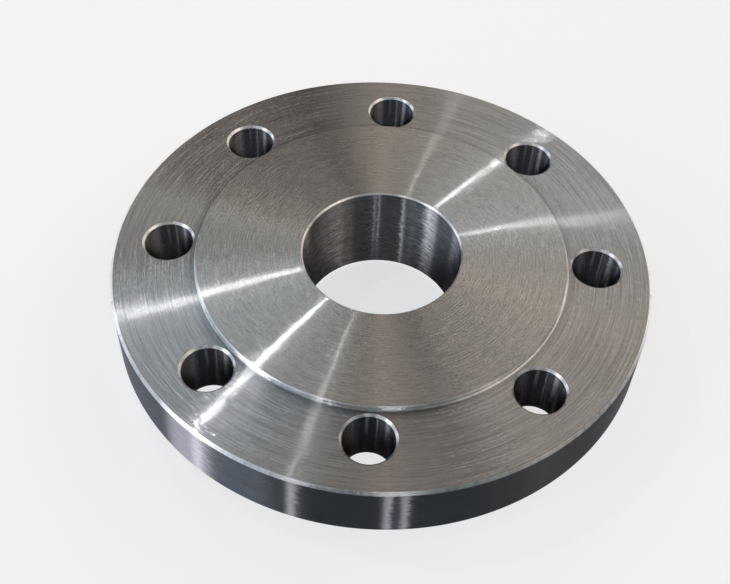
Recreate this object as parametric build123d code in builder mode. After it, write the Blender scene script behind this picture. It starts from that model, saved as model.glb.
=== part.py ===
from build123d import *
from math import radians, tan
import os

# Raised face pipe flange with a short hub at its back, forged and turned from one piece
# of steel. It stands face up on the end of its hub. The bore's axis is Z, and the origin
# is the centre of the hub's end face. Going up from there:
#
#   hub           a short collar round the bore, with a slight taper
#   plate         the round plate that the bolts pass through
#   raised face   the seat of the gasket, a shallow step above the bolting face
#
# The section is one closed profile, turned round the axis. The bolt holes are drilled
# through the plate afterwards, and every sharp edge is broken.

# Driving dimensions, in millimetres and degrees.
plate_diameter = 200.0
plate_thickness = 24.0
raised_face_height = 2.0
bore_diameter = 59.0
hub_root_diameter = 84.0
hub_length = 14.0
hub_taper = 7.0
bolt_hole_diameter = 18.0
bolt_hole_count = 8

# Steel left outside the bolt circle, and the land between the holes and the raised face.
bolt_circle_inset = 20.0
bolt_hole_land = 2.0

# Broken edges and root radii.
rim_chamfer = 1.0
raised_face_chamfer = 0.45
raised_face_root_radius = 0.5
bore_chamfer = 0.6
hub_end_chamfer = 1.0
hub_root_radius = 5.0
bolt_hole_chamfer = 0.8

# Heights of the faces above the hub's end.
back_face_height = hub_length
bolting_face_height = back_face_height + plate_thickness
gasket_face_height = bolting_face_height + raised_face_height

# Radii of the section's corners and of the bolt circle.
rim_radius = plate_diameter / 2
bore_radius = bore_diameter / 2
hub_root_corner = hub_root_diameter / 2
hub_end_corner = hub_root_corner - hub_length * tan(radians(hub_taper))
bolt_hole_radius = bolt_hole_diameter / 2
bolt_circle_radius = rim_radius - bolt_circle_inset
raised_face_radius = bolt_circle_radius - bolt_hole_radius - bolt_hole_land

# The section's levels, counted up from the hub's end, and the two corners on each.
HUB_END, BACK_FACE, BOLTING_FACE, GASKET_FACE = range(4)
INNER, OUTER = 0, 1

with BuildPart() as flange:
    with BuildSketch(Plane.XZ) as section:
        with BuildLine():
            Polyline(
                (bore_radius, 0),
                (hub_end_corner, 0),
                (hub_root_corner, back_face_height),
                (rim_radius, back_face_height),
                (rim_radius, bolting_face_height),
                (raised_face_radius, bolting_face_height),
                (raised_face_radius, gasket_face_height),
                (bore_radius, gasket_face_height),
                close=True,
            )
        make_face()

        corners = [level.sort_by(Axis.X) for level in section.vertices().group_by(Axis.Y)]
        chamfer([corners[HUB_END][INNER], corners[GASKET_FACE][INNER]], bore_chamfer)
        chamfer([corners[BACK_FACE][OUTER], corners[BOLTING_FACE][OUTER]], rim_chamfer)
        chamfer(corners[HUB_END][OUTER], hub_end_chamfer)
        chamfer(corners[GASKET_FACE][OUTER], raised_face_chamfer)
        fillet(corners[BACK_FACE][INNER], hub_root_radius)
        fillet(corners[BOLTING_FACE][INNER], raised_face_root_radius)
    revolve(axis=Axis.Z)

    with Locations((0, 0, bolting_face_height)):
        with PolarLocations(bolt_circle_radius, bolt_hole_count):
            Hole(bolt_hole_radius)
    chamfer(flange.edges(Select.LAST).filter_by(GeomType.CIRCLE), bolt_hole_chamfer)

flange.part.label = "flange"

os.makedirs("parts", exist_ok=True)
export_step(flange.part, "parts/flange.step")
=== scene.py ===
from math import cos, pi, radians, sin, tan

import bmesh
import bpy
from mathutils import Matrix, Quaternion, Vector


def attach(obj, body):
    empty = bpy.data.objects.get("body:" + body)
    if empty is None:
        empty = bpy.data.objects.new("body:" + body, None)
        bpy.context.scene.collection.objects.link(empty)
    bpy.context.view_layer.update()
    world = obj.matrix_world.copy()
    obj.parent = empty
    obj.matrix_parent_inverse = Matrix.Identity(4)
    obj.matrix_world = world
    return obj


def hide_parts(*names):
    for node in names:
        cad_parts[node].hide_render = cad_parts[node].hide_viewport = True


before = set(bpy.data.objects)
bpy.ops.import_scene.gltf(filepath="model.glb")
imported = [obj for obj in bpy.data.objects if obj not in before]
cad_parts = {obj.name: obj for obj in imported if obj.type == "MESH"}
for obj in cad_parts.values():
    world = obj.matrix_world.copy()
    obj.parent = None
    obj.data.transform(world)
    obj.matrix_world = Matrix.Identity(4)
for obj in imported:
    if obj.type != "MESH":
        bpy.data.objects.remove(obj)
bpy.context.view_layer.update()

# A raised face pipe flange in turned steel. The bore's axis is Z, and the hub's end stands on
# the floor at z = 0. All lengths are in metres.
MM = 0.001

# Driving dimensions: radii, heights and the hub's taper in degrees.
RIM = 100 * MM
PLATE_THICKNESS = 24 * MM
RAISED_FACE_HEIGHT = 2 * MM
BORE = 29.5 * MM
HUB_ROOT = 42 * MM
HUB_LENGTH = 14 * MM
HUB_TAPER = 7
HOLE = 9 * MM
HOLES = 8

# Steel left outside the bolt circle, and the land between the holes and the raised face.
BOLT_CIRCLE_INSET = 20 * MM
HOLE_LAND = 2 * MM

# Broken edges and root radii.
RIM_CHAMFER = 1.0 * MM
RAISED_FACE_CHAMFER = 0.45 * MM
RAISED_FACE_FILLET = 0.5 * MM
BORE_CHAMFER = 0.6 * MM
HUB_CHAMFER = 1.0 * MM
HUB_FILLET = 5 * MM
HOLE_CHAMFER = 0.8 * MM

# What follows from them.
BACK_LEVEL = HUB_LENGTH
BOLTING_LEVEL = BACK_LEVEL + PLATE_THICKNESS
GASKET_LEVEL = BOLTING_LEVEL + RAISED_FACE_HEIGHT
BOLT_CIRCLE = RIM - BOLT_CIRCLE_INSET
RAISED_FACE = BOLT_CIRCLE - HOLE - HOLE_LAND

# Steps round a turned surface, round a hole and along a fillet.
TURNED_STEPS = 720
HOLE_STEPS = 96
FILLET_STEPS = 8

# Vertices closer than this are one, and edges that bend more than this stay sharp.
WELD = 0.001 * MM
SHARP = radians(16)

# Material slots of the flange's mesh, in the order of flange_materials().
GASKET, BOLTING, RIM_SIDE, STEP, BORE_WALL, HOLE_WALL, EDGE, HOLE_EDGE, BACK = range(9)


def ring(mesh, radius, height, steps, centre=(0.0, 0.0)):
    """Vertices evenly round a circle."""
    x, y = centre
    turns = [2 * pi * i / steps for i in range(steps)]
    return [mesh.verts.new((x + radius * cos(a), y + radius * sin(a), height)) for a in turns]


def arc(centre, radius, start, end, steps=FILLET_STEPS):
    """Points (radius, height) along an arc of the section, between two angles in degrees."""
    angles = [radians(start + (end - start) * i / steps) for i in range(steps + 1)]
    return [(centre[0] + radius * cos(a), centre[1] + radius * sin(a)) for a in angles]


def join(mesh, below, above, slot, axis_layer, centre=(0.0, 0.0)):
    """A band of faces between two rings, which remember the axis they were turned round."""
    steps = len(below)
    for i in range(steps):
        j = (i + 1) % steps
        face = mesh.faces.new((below[i], below[j], above[j], above[i]))
        face.material_index = slot
        for corner in face.loops:
            corner[axis_layer] = (centre[0], centre[1], 0.0)


def turn_profile(mesh, bands, axis_layer, steps=TURNED_STEPS, centre=(0.0, 0.0)):
    """Turns a chain of (points, slot) bands round an axis. Returns the first and last ring."""
    first = last = ring(mesh, *bands[0][0][0], steps, centre)
    for points, slot in bands:
        for point in points[1:]:
            here = ring(mesh, *point, steps, centre)
            join(mesh, last, here, slot, axis_layer, centre)
            last = here
    return first, last


def loop_edges(mesh, verts):
    """The edges of a closed ring, made if they don't exist."""
    pairs = zip(verts, verts[1:] + verts[:1])
    return [mesh.edges.get(pair) or mesh.edges.new(pair) for pair in pairs]


def pierced_face(mesh, rings, slot):
    """A flat face between rings, with the bolt holes left open."""
    edges = [edge for verts in rings for edge in loop_edges(mesh, verts)]
    filled = bmesh.ops.triangle_fill(mesh, use_beauty=True, use_dissolve=False, edges=edges)
    for face in filled["geom"]:
        if isinstance(face, bmesh.types.BMFace):
            face.material_index = slot


def hub_bands():
    """The back of the flange, from the bore's lower edge to the root of the hub."""
    taper = radians(HUB_TAPER)
    hub_end = HUB_ROOT - HUB_LENGTH * tan(taper)
    chamfer_top = hub_end + HUB_CHAMFER * tan(taper)
    fillet_radius = HUB_ROOT + HUB_FILLET * (1 - sin(taper)) / cos(taper)
    fillet_centre = (fillet_radius, BACK_LEVEL - HUB_FILLET)
    fillet = arc(fillet_centre, HUB_FILLET, 180 - HUB_TAPER, 90)
    return [
        ([(BORE, BORE_CHAMFER), (BORE + BORE_CHAMFER, 0)], EDGE),
        ([(BORE + BORE_CHAMFER, 0), (hub_end - HUB_CHAMFER, 0)], BACK),
        ([(hub_end - HUB_CHAMFER, 0), (chamfer_top, HUB_CHAMFER)], EDGE),
        ([(chamfer_top, HUB_CHAMFER), fillet[0]], BACK),
        (fillet, BACK),
    ]


def rim_bands():
    """The rim with its two broken edges."""
    inner = RIM - RIM_CHAMFER
    low, high = BACK_LEVEL + RIM_CHAMFER, BOLTING_LEVEL - RIM_CHAMFER
    return [
        ([(inner, BACK_LEVEL), (RIM, low)], EDGE),
        ([(RIM, low), (RIM, high)], RIM_SIDE),
        ([(RIM, high), (inner, BOLTING_LEVEL)], EDGE),
    ]


def raised_face_bands():
    """The step, the gasket's seat and the bore, back down to the hub's end."""
    foot_centre = (RAISED_FACE + RAISED_FACE_FILLET, BOLTING_LEVEL + RAISED_FACE_FILLET)
    step_foot = arc(foot_centre, RAISED_FACE_FILLET, 270, 180)
    step_top = (RAISED_FACE, GASKET_LEVEL - RAISED_FACE_CHAMFER)
    seat_outer = (RAISED_FACE - RAISED_FACE_CHAMFER, GASKET_LEVEL)
    seat_inner = (BORE + BORE_CHAMFER, GASKET_LEVEL)
    bore_top = (BORE, GASKET_LEVEL - BORE_CHAMFER)
    return [
        (step_foot, STEP),
        ([step_foot[-1], step_top], STEP),
        ([step_top, seat_outer], EDGE),
        ([seat_outer, seat_inner], GASKET),
        ([seat_inner, bore_top], EDGE),
        ([bore_top, (BORE, BORE_CHAMFER)], BORE_WALL),
    ]


def hole_bands():
    """One bolt hole, from its lower broken edge to its upper one."""
    mouth = HOLE + HOLE_CHAMFER
    low, high = BACK_LEVEL + HOLE_CHAMFER, BOLTING_LEVEL - HOLE_CHAMFER
    return [
        ([(mouth, BACK_LEVEL), (HOLE, low)], HOLE_EDGE),
        ([(HOLE, low), (HOLE, high)], HOLE_WALL),
        ([(HOLE, high), (mouth, BOLTING_LEVEL)], HOLE_EDGE),
    ]


def flange_mesh():
    """The whole flange as one closed mesh."""
    mesh = bmesh.new()
    axis_layer = mesh.loops.layers.float_vector.new("axis")
    _, hub_root = turn_profile(mesh, hub_bands(), axis_layer)
    rim_low, rim_high = turn_profile(mesh, rim_bands(), axis_layer)
    step_foot, _ = turn_profile(mesh, raised_face_bands(), axis_layer)
    back_rings, front_rings = [hub_root, rim_low], [step_foot, rim_high]
    for i in range(HOLES):
        angle = 2 * pi * i / HOLES
        centre = (BOLT_CIRCLE * cos(angle), BOLT_CIRCLE * sin(angle))
        low, high = turn_profile(mesh, hole_bands(), axis_layer, HOLE_STEPS, centre)
        back_rings.append(low)
        front_rings.append(high)
    pierced_face(mesh, back_rings, BACK)
    pierced_face(mesh, front_rings, BOLTING)
    bmesh.ops.remove_doubles(mesh, verts=mesh.verts, dist=WELD)
    bmesh.ops.recalc_face_normals(mesh, faces=mesh.faces)
    return mesh


def make_flange():
    """The flange as an object with smooth curved surfaces and sharp corners."""
    mesh = flange_mesh()
    for edge in mesh.edges:
        edge.smooth = edge.is_manifold and edge.calc_face_angle() < SHARP
    for face in mesh.faces:
        face.smooth = True
    data = bpy.data.meshes.new("flange_body")
    mesh.to_mesh(data)
    mesh.free()
    made = bpy.data.objects.new("flange_body", data)
    bpy.context.scene.collection.objects.link(made)
    return made


class Net:
    """A node tree with short ways to add and link nodes."""

    def __init__(self, tree):
        self.tree = tree

    def add(self, kind, inputs=None, **settings):
        node = self.tree.nodes.new(kind)
        for name, value in settings.items():
            setattr(node, name, value)
        for name, value in (inputs or {}).items():
            self.set(node.inputs[name], value)
        return node

    def set(self, socket, value):
        if isinstance(value, bpy.types.NodeSocket):
            self.tree.links.new(value, socket)
        else:
            socket.default_value = value

    def math(self, operation, a, b=0.0, c=0.0, clamp=False):
        node = self.add("ShaderNodeMath", operation=operation, use_clamp=clamp)
        for socket, value in zip(node.inputs, (a, b, c)):
            self.set(socket, value)
        return node.outputs[0]

    def vector(self, operation, a, b=None, scale=None):
        node = self.add("ShaderNodeVectorMath", operation=operation)
        self.set(node.inputs[0], a)
        if b is not None:
            self.set(node.inputs[1], b)
        if scale is not None:
            self.set(node.inputs["Scale"], scale)
        return node.outputs["Value"] if operation == "LENGTH" else node.outputs[0]

    def xyz(self, x=0.0, y=0.0, z=0.0):
        return self.add("ShaderNodeCombineXYZ", {"X": x, "Y": y, "Z": z}).outputs[0]

    def noise(self, vector, detail, roughness=0.5):
        inputs = {"Vector": vector, "Scale": 1.0, "Detail": detail, "Roughness": roughness}
        return self.add("ShaderNodeTexNoise", inputs).outputs["Fac"]

    def ramp(self, value, start, end, low=0.0, high=1.0):
        """A smooth step from low to high, while the value goes from start to end."""
        limits = {"From Min": start, "From Max": end, "To Min": low, "To Max": high}
        node = self.add("ShaderNodeMapRange", limits, interpolation_type="SMOOTHSTEP")
        self.set(node.inputs["Value"], value)
        return node.outputs[0]

    def mix(self, factor, a, b):
        node = self.add("ShaderNodeMix", data_type="RGBA")
        for index, value in ((0, factor), (6, a), (7, b)):
            self.set(node.inputs[index], value)
        return node.outputs[2]


def group(name, inputs, outputs):
    """A new shader node group whose inputs are numbers, as (tree, net, inputs, outputs)."""
    tree = bpy.data.node_groups.new(name, "ShaderNodeTree")
    for socket, value in inputs.items():
        made = tree.interface.new_socket(socket, in_out="INPUT", socket_type="NodeSocketFloat")
        made.default_value = value
    for socket, kind in outputs.items():
        tree.interface.new_socket(socket, in_out="OUTPUT", socket_type="NodeSocket" + kind)
    net = Net(tree)
    return tree, net, net.add("NodeGroupInput").outputs, net.add("NodeGroupOutput").inputs


# How much of a point's height counts towards its place on the section, beside its radius.
HEIGHT_SHARE = 0.73


def turned_coordinates():
    """Where a point lies on a turned surface: its directions and its place on the section."""
    tree, net, _, out = group(
        "Turned coordinates", {},
        {"Around": "Vector", "Along": "Vector", "Outward": "Vector", "Radius": "Float",
         "Profile": "Float"},
    )
    point = net.add("ShaderNodeTexCoord").outputs["Object"]
    axis = net.add("ShaderNodeAttribute", attribute_name="axis").outputs["Vector"]
    local = net.vector("SUBTRACT", point, axis)
    parts = net.add("ShaderNodeSeparateXYZ", {"Vector": local}).outputs
    flat = net.xyz(parts["X"], parts["Y"])
    radius = net.vector("LENGTH", flat)
    outward = net.vector("NORMALIZE", flat)
    around = net.vector("CROSS_PRODUCT", (0.0, 0.0, 1.0), outward)
    normal = net.add("ShaderNodeNewGeometry").outputs["Normal"]
    height = net.math("MULTIPLY", parts["Z"], HEIGHT_SHARE)
    net.set(out["Around"], around)
    net.set(out["Along"], net.vector("CROSS_PRODUCT", around, normal))
    net.set(out["Outward"], outward)
    net.set(out["Radius"], radius)
    net.set(out["Profile"], net.math("ADD", radius, height))
    return tree


# Shape of the turning marks. A groove is steeper at its edges, by this share.
GROOVE_CURVE = 0.3
# The feed's wave has this share of a ring's width in one radian.
FEED_WAVE = 0.17
# How fast the noise of the rings changes round the axis, and how wide its torn grooves are.
RINGS_ROUND = 4.0
TORN_WIDTH = 0.45 * MM
# Noise values between which a groove goes from clean to torn, and past which it slips.
TORN_FROM, TORN_TO = 0.53, 0.60
SLIP_FROM = 0.58
# How far a grain swings at a Jitter of 1.
GRAIN_SWING = 7.5


def polar(net, where, round_count, width):
    """Noise space wound round the axis: lengths follow round_count, widths follow the section."""
    across = net.xyz(z=net.math("DIVIDE", where["Profile"], width))
    return net.vector("ADD", net.vector("SCALE", where["Outward"], scale=round_count), across)


def groove_tilt(net, where, given):
    """How far a point of a groove leans along the section."""
    turns = net.math("DIVIDE", where["Profile"], given["Pitch"])
    across = net.math("MULTIPLY_ADD", net.math("FRACT", turns), 2.0, -1.0)
    square = net.math("MULTIPLY", across, across)
    curve = net.math("MULTIPLY_ADD", square, GROOVE_CURVE, 1.0 - GROOVE_CURVE)
    flank = net.math("MULTIPLY", across, curve)
    tilt = net.math("MULTIPLY_ADD", flank, given["Slope"], given["Lean"])
    return net.math("MULTIPLY_ADD", net.math("SUBTRACT", 1.0, square), given["Skew"], tilt)


def ring_tilt(net, where, given):
    """How far whole bands of grooves lean: uneven rings, and the wave of the tool's feed."""
    wave = net.math("MULTIPLY", given["Ring width"], FEED_WAVE)
    feed = net.math("SINE", net.math("DIVIDE", where["Profile"], wave))
    space = polar(net, where, RINGS_ROUND, given["Ring width"])
    rings = net.math("SUBTRACT", net.noise(space, 3.0, 0.75), 0.5)
    return net.math("MULTIPLY_ADD", feed, given["Feed marks"], rings)


def side_swing(net, given, groove, grain):
    """How far a leaning grain also swings round the axis, more so in a torn groove."""
    torn = net.ramp(groove, TORN_FROM, TORN_TO)
    strength = net.math("MULTIPLY_ADD", torn, given["Scatter"], 1.0)
    reach = net.math("MULTIPLY", given["Jitter"], strength)
    slip = net.math("MAXIMUM", net.math("SUBTRACT", groove, SLIP_FROM), 0.0)
    slip = net.math("MULTIPLY", slip, given["Slip"])
    return net.math("MULTIPLY_ADD", net.math("MULTIPLY", grain, GRAIN_SWING), reach, slip)


def turning_marks(coordinates):
    """The tool's grooves, as a normal and a shade.

    A groove's floor is a shallow scallop of the given Slope. Lean tips the whole floor to one
    side and Skew only its middle. Rings and Feed marks tilt whole bands of grooves. Jitter
    swings short grains of a groove off its circle, Scatter does so more strongly in the torn
    grooves, and Slip swings a torn groove as a whole. Shading darkens and lightens the grains,
    and Streaks does the same to the grooves.
    """
    tree, net, given, out = group(
        "Turning marks",
        {
            "Pitch": 0.2 * MM, "Slope": 0.75, "Lean": 0.0, "Skew": 0.0,
            "Rings": 0.1, "Ring width": 1.0 * MM, "Feed marks": 0.0,
            "Grain": 0.5 * MM, "Grains round": 60.0, "Jitter": 0.02,
            "Torn grooves": 6.0, "Scatter": 2.0, "Slip": 0.0,
            "Shading": 0.2, "Streaks": 0.6,
        },
        {"Normal": "Vector", "Shade": "Float"},
    )
    where = net.add("ShaderNodeGroup", node_tree=coordinates).outputs
    tilt = net.math(
        "MULTIPLY_ADD", ring_tilt(net, where, given), given["Rings"], groove_tilt(net, where, given)
    )
    groove = net.noise(polar(net, where, given["Torn grooves"], TORN_WIDTH), 1.0)
    grain = net.noise(polar(net, where, given["Grains round"], given["Grain"]), 2.0, 0.7)
    grain = net.math("SUBTRACT", grain, 0.5)
    swing = net.math("MULTIPLY", side_swing(net, given, groove, grain), tilt)

    normal = net.add("ShaderNodeNewGeometry").outputs["Normal"]
    tilted = net.vector("ADD", normal, net.vector("SCALE", where["Along"], scale=tilt))
    tilted = net.vector("ADD", tilted, net.vector("SCALE", where["Around"], scale=swing))
    net.set(out["Normal"], net.vector("NORMALIZE", tilted))

    streak = net.math("MULTIPLY_ADD", net.math("SUBTRACT", groove, 0.5), given["Streaks"], grain)
    net.set(out["Shade"], net.math("ADD", net.math("MULTIPLY", streak, given["Shading"]), 1.0))
    return tree


COORDINATES = turned_coordinates()
MARKS = turning_marks(COORDINATES)

# The tool's marks on each kind of surface.
FINE = {
    "Pitch": 0.15 * MM, "Slope": 0.76, "Skew": 0.03,
    "Rings": 0.22, "Ring width": 1.0 * MM, "Feed marks": 0.35,
    "Grain": 0.55 * MM, "Grains round": 70.0, "Jitter": 0.015,
    "Torn grooves": 10.0, "Scatter": 4.0, "Slip": 0.25, "Shading": 0.8,
}
COARSE = {
    "Pitch": 0.28 * MM, "Slope": 0.86,
    "Rings": 0.35, "Ring width": 1.4 * MM, "Feed marks": 0.05,
    "Grain": 0.50 * MM, "Grains round": 60.0, "Jitter": 0.025,
    "Torn grooves": 4.0, "Scatter": 9.0, "Slip": 0.8, "Shading": 0.65, "Streaks": 1.2,
}
RIM_MARKS = {
    "Pitch": 0.25 * MM, "Slope": 0.14, "Lean": -0.93, "Rings": 0.05, "Ring width": 1.2 * MM,
    "Grain": 0.6 * MM, "Grains round": 30.0, "Jitter": 0.005,
    "Torn grooves": 4.0, "Scatter": 1.0, "Shading": 0.6,
}
STEP_MARKS = {
    "Pitch": 0.25 * MM, "Slope": 0.35, "Lean": -0.60, "Rings": 0.1, "Ring width": 1.0 * MM,
    "Grain": 0.8 * MM, "Grains round": 60.0, "Jitter": 0.04,
    "Torn grooves": 12.0, "Scatter": 1.0, "Shading": 0.5,
}
BORE_MARKS = {
    "Pitch": 0.25 * MM, "Slope": 0.20, "Lean": 0.87, "Rings": 0.20, "Ring width": 1.4 * MM,
    "Grain": 0.6 * MM, "Grains round": 12.0, "Jitter": 0.009,
    "Torn grooves": 2.0, "Scatter": 2.0, "Shading": 1.6,
}
SMOOTH = {
    "Pitch": 0.10 * MM, "Slope": 0.10, "Rings": 0.05, "Ring width": 0.5 * MM,
    "Grain": 0.8 * MM, "Grains round": 60.0, "Jitter": 0.3,
    "Torn grooves": 12.0, "Scatter": 2.0, "Shading": 0.8,
}

# Painted shade on the bolting face, darker close to the step's root: from radius, to radius, depth.
ROOT_PAINTED_SHADE = (69.6 * MM, 73.5 * MM, 0.22)

# Turns the stretch of a highlight from round the axis to along the section.
QUARTER_TURN = 0.25


def turned_steel(name, base, roughness, marks, anisotropic=1.0, painted_shade=None):
    """Bare steel with the marks of a turning tool or a drill.

    A turned surface shines in a streak across its grooves, so its highlight is stretched
    along the section. The optional painted shade is a band (from radius, to radius, depth) of
    painted shadow in the base colour, darker at its inner side.
    """
    material = bpy.data.materials.new(name)
    material.use_nodes = True
    net = Net(material.node_tree)
    steel = material.node_tree.nodes["Principled BSDF"]
    grooves = net.add("ShaderNodeGroup", marks, node_tree=MARKS)
    shade = grooves.outputs["Shade"]
    # Painted shade: the base colour is darkened in a band towards the step's root.
    if painted_shade:
        radius = net.add("ShaderNodeGroup", node_tree=COORDINATES).outputs["Radius"]
        start, end, depth = painted_shade
        shade = net.math("MULTIPLY", shade, net.ramp(radius, start, end, 1.0 - depth, 1.0))
    steel.inputs["Metallic"].default_value = 1.0
    steel.inputs["Roughness"].default_value = roughness
    net.set(steel.inputs["Base Color"], net.vector("SCALE", base, scale=shade))
    net.set(steel.inputs["Normal"], grooves.outputs["Normal"])
    if anisotropic:
        round_axis = net.add("ShaderNodeTangent", direction_type="RADIAL", axis="Z")
        steel.inputs["Anisotropic"].default_value = anisotropic
        steel.inputs["Anisotropic Rotation"].default_value = QUARTER_TURN
        net.set(steel.inputs["Tangent"], round_axis.outputs[0])
    return material


def flange_materials():
    """One material for each slot of the mesh."""
    return [
        turned_steel("gasket face", (0.50, 0.50, 0.50), 0.13, FINE),
        turned_steel("bolting face", (0.46, 0.465, 0.475), 0.13, COARSE, painted_shade=ROOT_PAINTED_SHADE),
        # Painted shade: the rim's steel is darkened to stand in for the dark surroundings it
        # mirrors.
        turned_steel("rim", (0.215, 0.215, 0.23), 0.16, RIM_MARKS),
        # Painted highlight: the step's steel is lightened so that it shows as a bright line.
        turned_steel("step", (0.95, 0.95, 0.95), 0.25, STEP_MARKS),
        # Painted shade: the bore's steel is darkened to stand in for the shade inside it.
        turned_steel("bore", (0.215, 0.215, 0.225), 0.18, BORE_MARKS),
        # Painted shade: the hole walls' steel is darkened most, for the shade inside the bolt
        # holes.
        turned_steel("hole wall", (0.11, 0.11, 0.12), 0.20, BORE_MARKS),
        # Painted highlight: the broken edges' steel is lightened so that they show as bright lines.
        turned_steel("broken edge", (0.95, 0.95, 0.95), 0.25, SMOOTH, anisotropic=0.6),
        # Painted highlight: the holes' broken edges are lightened so that they show as bright
        # rings.
        turned_steel("hole edge", (0.92, 0.92, 0.92), 0.27, SMOOTH, anisotropic=0.0),
        turned_steel("back", (0.50, 0.50, 0.50), 0.20, COARSE),
    ]


# The floor's half width, and its colours: as light falls on it, and as the camera sees it.
FLOOR_REACH = 6.0
FLOOR_LIT, FLOOR_SEEN = (0.80, 0.80, 0.80, 1.0), (0.45, 0.45, 0.455, 1.0)
NO_GLOW, FLOOR_GLOW = (0.0, 0.0, 0.0, 1.0), (0.66, 0.66, 0.665, 1.0)


def floor_material():
    """Matt pale floor, clear from below. The camera and the metal also see it glow a little."""
    material = bpy.data.materials.new("studio floor")
    material.use_nodes = True
    net = Net(material.node_tree)
    matt = material.node_tree.nodes["Principled BSDF"]
    rays = net.add("ShaderNodeLightPath").outputs
    seen = net.math("ADD", rays["Is Camera Ray"], rays["Is Glossy Ray"])
    seen = net.math("ADD", seen, rays["Is Transmission Ray"], clamp=True)
    net.set(matt.inputs["Base Color"], net.mix(seen, FLOOR_LIT, FLOOR_SEEN))
    net.set(matt.inputs["Emission Color"], net.mix(seen, NO_GLOW, FLOOR_GLOW))
    matt.inputs["Emission Strength"].default_value = 1.0
    backfacing = net.add("ShaderNodeNewGeometry").outputs["Backfacing"]
    net.set(matt.inputs["Alpha"], net.math("SUBTRACT", 1.0, backfacing))
    matt.inputs["Roughness"].default_value = 0.9
    matt.inputs["Specular IOR Level"].default_value = 0.0
    return material


def make_floor():
    """A flat square floor under the hub's end."""
    far = FLOOR_REACH
    corners = [(-far, -far, 0), (far, -far, 0), (far, far, 0), (-far, far, 0)]
    data = bpy.data.meshes.new("floor")
    data.from_pydata(corners, [], [(0, 1, 2, 3)])
    data.materials.append(floor_material())
    made = bpy.data.objects.new("floor", data)
    bpy.context.scene.collection.objects.link(made)
    return made


def soft_panel():
    """A soft-edged panel of light in the studio's surround, as a mask."""
    tree, net, given, out = group(
        "Soft panel",
        {"Azimuth": 0.0, "Elevation": 0.0, "Width": 60.0, "Height": 40.0, "Softness": 10.0},
        {"Mask": "Float"},
    )
    direction = net.vector("NORMALIZE", net.add("ShaderNodeTexCoord").outputs["Generated"])
    parts = net.add("ShaderNodeSeparateXYZ", {"Vector": direction}).outputs
    azimuth = net.math("DEGREES", net.math("ARCTAN2", parts["Y"], parts["X"]))
    elevation = net.math("DEGREES", net.math("ARCSINE", parts["Z"]))
    masks = []
    for angle, middle, size in (
        (azimuth, "Azimuth", "Width"), (elevation, "Elevation", "Height"),
    ):
        away = net.math("WRAP", net.math("SUBTRACT", angle, given[middle]), -180.0, 180.0)
        half = net.math("MULTIPLY", given[size], 0.5)
        inside = net.math("SUBTRACT", half, net.math("ABSOLUTE", away))
        edge = net.math("MULTIPLY_ADD", given["Softness"], 0.5, inside)
        masks.append(net.ramp(net.math("DIVIDE", edge, given["Softness"]), 0.0, 1.0))
    net.set(out["Mask"], net.math("MULTIPLY", *masks))
    return tree


# Light of the surround between its panels.
BASE_LIGHT = (0.075, 0.09, 0.095)

# Panels of the surround: azimuth, elevation, width, height and softness in degrees, and colour.
PANELS = {
    "warm wall": (58, 15, 74, 77, 12, (0.67, 0.57, 0.47)),
    "warm window": (5, 48, 74, 44, 12, (0.68, 0.55, 0.47)),
    "cool window": (119, 60, 13, 27, 21, (2.27, 2.95, 3.50)),
    "low left window": (154, 14, 14, 14, 5, (0.85, 0.93, 1.05)),
    "warm strip": (87, 72, 6.5, 37, 7, (0.72, 0.42, 0.28)),
    "back post": (128, 17, 6, 36, 6, (0.40, 0.45, 0.45)),
    "left wall": (199, 14, 78, 52, 14, (0.32, 0.37, 0.44)),
    "front right window": (345, 41, 62, 12, 6, (0.75, 0.72, 0.68)),
    "front shelf": (270, 47, 90, 12, 6, (0.38, 0.38, 0.38)),
    "left strip": (164, 10, 8, 50, 5, (0.90, 0.90, 0.95)),
    "front left strip": (206, 16, 17, 60, 6, (1.50, 1.40, 1.50)),
    "front left pane": (210, 8, 3.5, 34, 2, (1.50, 1.50, 1.55)),
    "front strip": (244.7, 20, 2.5, 70, 2, (2.00, 2.00, 2.05)),
    "left pane": (277.3, 13, 2.2, 42, 1.2, (1.75, 1.75, 1.85)),
    "right pane": (283.0, 13, 2.2, 42, 1.2, (1.60, 1.60, 1.70)),
}


def surround():
    """The soft studio surround: dark overhead, cool on the left and warm on the right."""
    world = bpy.data.worlds.new("studio")
    bpy.context.scene.world = world
    world.use_nodes = True
    net = Net(world.node_tree)
    mask = soft_panel()
    light = BASE_LIGHT
    for *sizes, colour in PANELS.values():
        panel = net.add("ShaderNodeGroup", node_tree=mask)
        for socket, value in zip(panel.inputs, sizes):
            socket.default_value = value
        light = net.vector("ADD", net.vector("SCALE", colour, scale=panel.outputs["Mask"]), light)
    net.set(world.node_tree.nodes["Background"].inputs["Color"], light)


# The middle of the bolting face's plane, which the lamps look at.
FACE_CENTRE = Vector((0, 0, BOLTING_LEVEL))
LAMP_DISTANCE = 1.4

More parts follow.
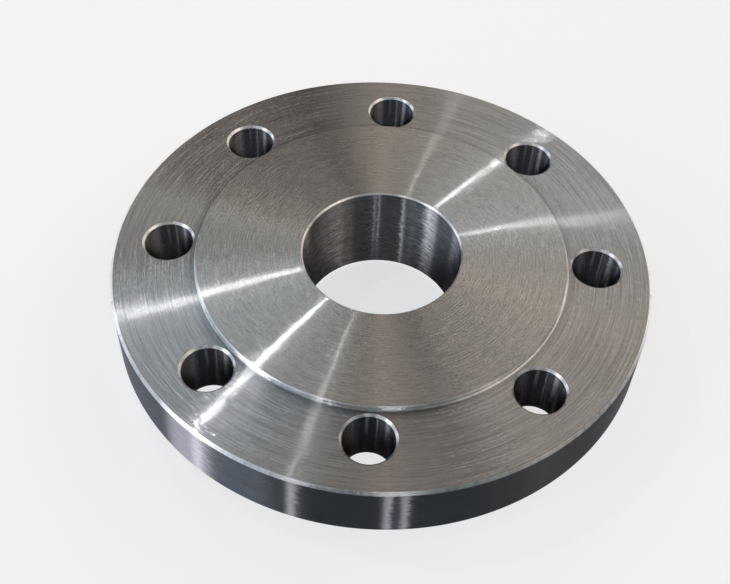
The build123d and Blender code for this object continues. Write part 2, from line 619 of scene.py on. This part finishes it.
# Each lamp draws one bright spoke across the grooves: azimuth and elevation in degrees,
# diameter in metres and power in watts.
LAMPS = {
    "back lamp": (130.7, 48.7, 0.013, 0.50),
    "left lamp": (174.9, 60.5, 0.013, 1.15),
    "front lamp": (226.9, 66.9, 0.010, 0.32),
}


def looking(place, aim):
    """The rotation that points a lamp or a camera from its place at its aim."""
    return (place - aim).to_track_quat("Z", "Y")


def lamp(name, azimuth, elevation, diameter, power):
    """A small round lamp that looks at the flange's face."""
    around, up = radians(azimuth), radians(elevation)
    direction = Vector((cos(around) * cos(up), sin(around) * cos(up), sin(up)))
    place = direction * LAMP_DISTANCE + FACE_CENTRE
    data = bpy.data.lights.new(name, "AREA")
    data.shape = "DISK"
    data.size = diameter
    data.energy = power
    made = bpy.data.objects.new(name, data)
    made.location = place
    made.rotation_mode = "QUATERNION"
    made.rotation_quaternion = looking(place, FACE_CENTRE)
    made.visible_camera = False
    bpy.context.scene.collection.objects.link(made)


# The camera's place, aim and roll, and its lens, all fitted to the flange's outlines.
CAMERA_PLACE = Vector((2.79, -270.26, 345.24)) * MM
CAMERA_AIM = Vector((-6.66, 6.50, 38.0)) * MM
CAMERA_ROLL = radians(2.185)
SENSOR_WIDTH, FOCAL_LENGTH = 36.0, 54.086
SHIFT_UP = -0.0712
NEAREST = 0.02


def camera():
    """The camera looks down on the flange from the front."""
    data = bpy.data.cameras.new("camera")
    data.sensor_width = SENSOR_WIDTH
    data.lens = FOCAL_LENGTH
    data.shift_y = SHIFT_UP
    data.clip_start = NEAREST
    made = bpy.data.objects.new("camera", data)
    made.location = CAMERA_PLACE
    made.rotation_mode = "QUATERNION"
    roll = Quaternion((0, 0, 1), CAMERA_ROLL)
    made.rotation_quaternion = looking(CAMERA_PLACE, CAMERA_AIM) @ roll
    bpy.context.scene.collection.objects.link(made)
    bpy.context.scene.camera = made


flange = make_flange()
for material in flange_materials():
    flange.data.materials.append(material)
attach(flange, "root")
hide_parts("flange")

floor = make_floor()
surround()
for name, values in LAMPS.items():
    lamp(name, *values)
camera()
bpy.context.scene.view_settings.view_transform = "Standard"
